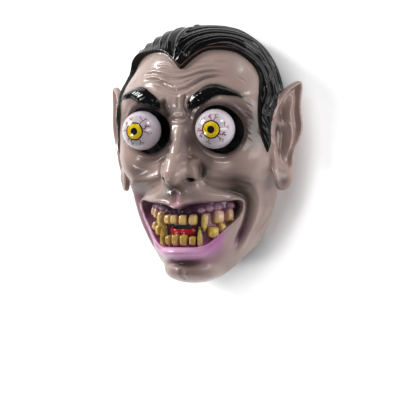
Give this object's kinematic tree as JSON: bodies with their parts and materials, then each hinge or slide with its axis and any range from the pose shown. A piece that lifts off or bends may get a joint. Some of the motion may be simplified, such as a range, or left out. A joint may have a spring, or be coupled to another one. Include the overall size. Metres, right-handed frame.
{
  "type": "vampire mask",
  "caption": "Moulded plastic full-face vampire mask, hollow behind, with combed hair, pointed ears, bulging ball eyes and a fanged grin.",
  "frame": {"origin": "on the plane of the rear rim, under the middle of the mask's box, with the mask lying face up", "axes": "+X towards the wearer's left, +Y towards the top of the head, +Z the way the face looks, up as it lies"},
  "size_m": [0.2234, 0.2684, 0.1112],
  "materials": {
    "mask_vinyl": "glossy sprayed vinyl: grey-pink skin, black hair and brows, magenta lips, ochre teeth, brown shading in the hollows",
    "eyeball_plastic": "glossy white ball printed with a yellow iris, black ring and pupil and red veins"
  },
  "bodies": {
    "root": {"mask_shell": "mask_vinyl", "left_eyeball": "eyeball_plastic", "right_eyeball": "eyeball_plastic"}
  },
  "joints": []
}
